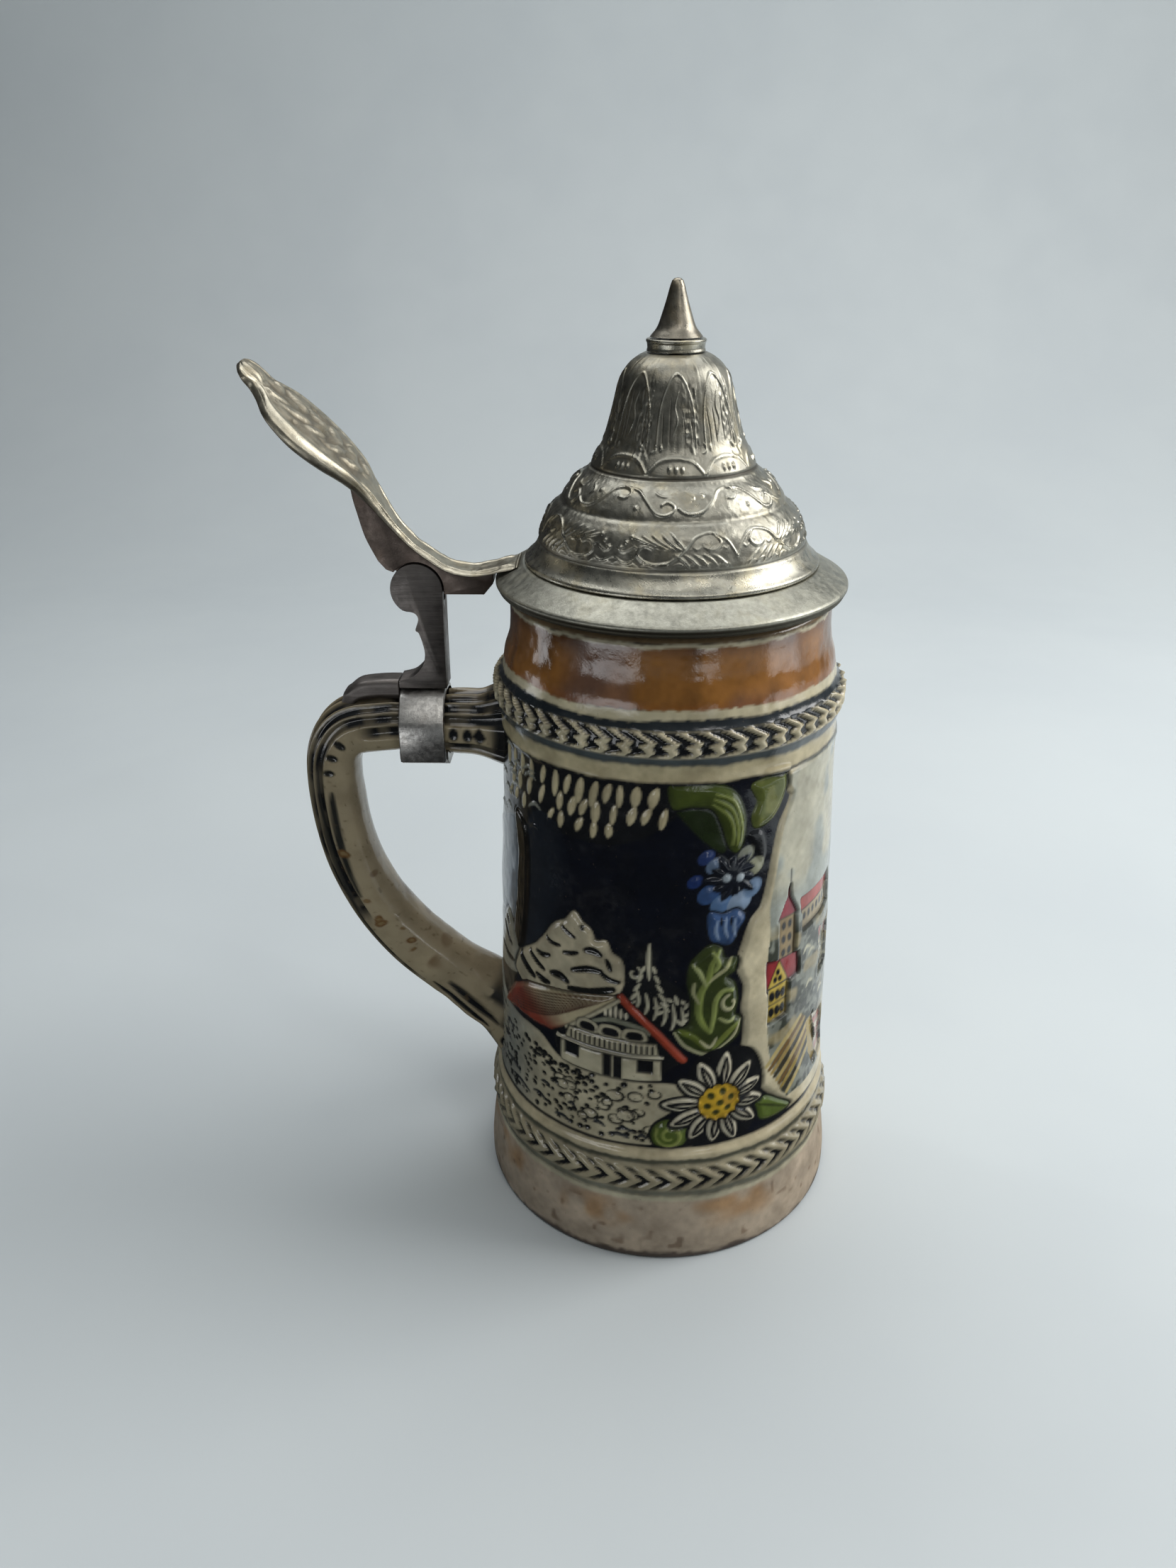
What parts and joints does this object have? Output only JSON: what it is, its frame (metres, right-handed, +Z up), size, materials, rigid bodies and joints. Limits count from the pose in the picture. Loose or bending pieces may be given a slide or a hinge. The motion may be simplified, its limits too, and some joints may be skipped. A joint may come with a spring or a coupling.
{
  "type": "lidded beer stein",
  "caption": "Tapered stoneware beer mug with a loop handle and a hinged, domed pewter lid opened by a thumblift.",
  "frame": {"origin": "centre of the mug's flat underside, on the table", "axes": "+Z up along the mug's axis, -X towards the handle and the thumblift, Y across the handle"},
  "size_m": [0.1414, 0.094, 0.2278],
  "materials": {
    "painted_stoneware": "hand-painted relief under a clear glossy glaze, amber glaze at the neck, bare stoneware foot",
    "handle_stoneware": "cream glaze with dark wash in the flutes, glossy",
    "strap_zinc": "dull mottled grey",
    "post_zinc": "dark brushed grey-brown",
    "pin_steel": "bright drawn",
    "thumblift_pewter": "tarnished silver, worn bright on the edges",
    "flange_pewter": "matt, oxidised grey-green",
    "dome_pewter": "antiqued, dark in the recesses",
    "spire_pewter": "dark bronze-grey, satin"
  },
  "bodies": {
    "mug": {"stein_body": "painted_stoneware", "stein_handle": "handle_stoneware", "handle_strap_band": "strap_zinc", "handle_strap_closure": "strap_zinc", "hinge_post": "post_zinc", "saddle_tongue": "post_zinc", "hinge_pin": "pin_steel"},
    "lid": {"thumblift": "thumblift_pewter", "lid_flange": "flange_pewter", "lid_dome": "dome_pewter", "finial_collar": "dome_pewter", "finial_spire": "spire_pewter", "finial_screw": "pin_steel"}
  },
  "joints": [
    {"name": "lid_hinge", "type": "hinge", "parent": "mug", "child": "lid", "pos_m": [-0.0583, 0, 0.1622], "axis": [0, -1, 0], "range_deg": [0, 95]}
  ]
}
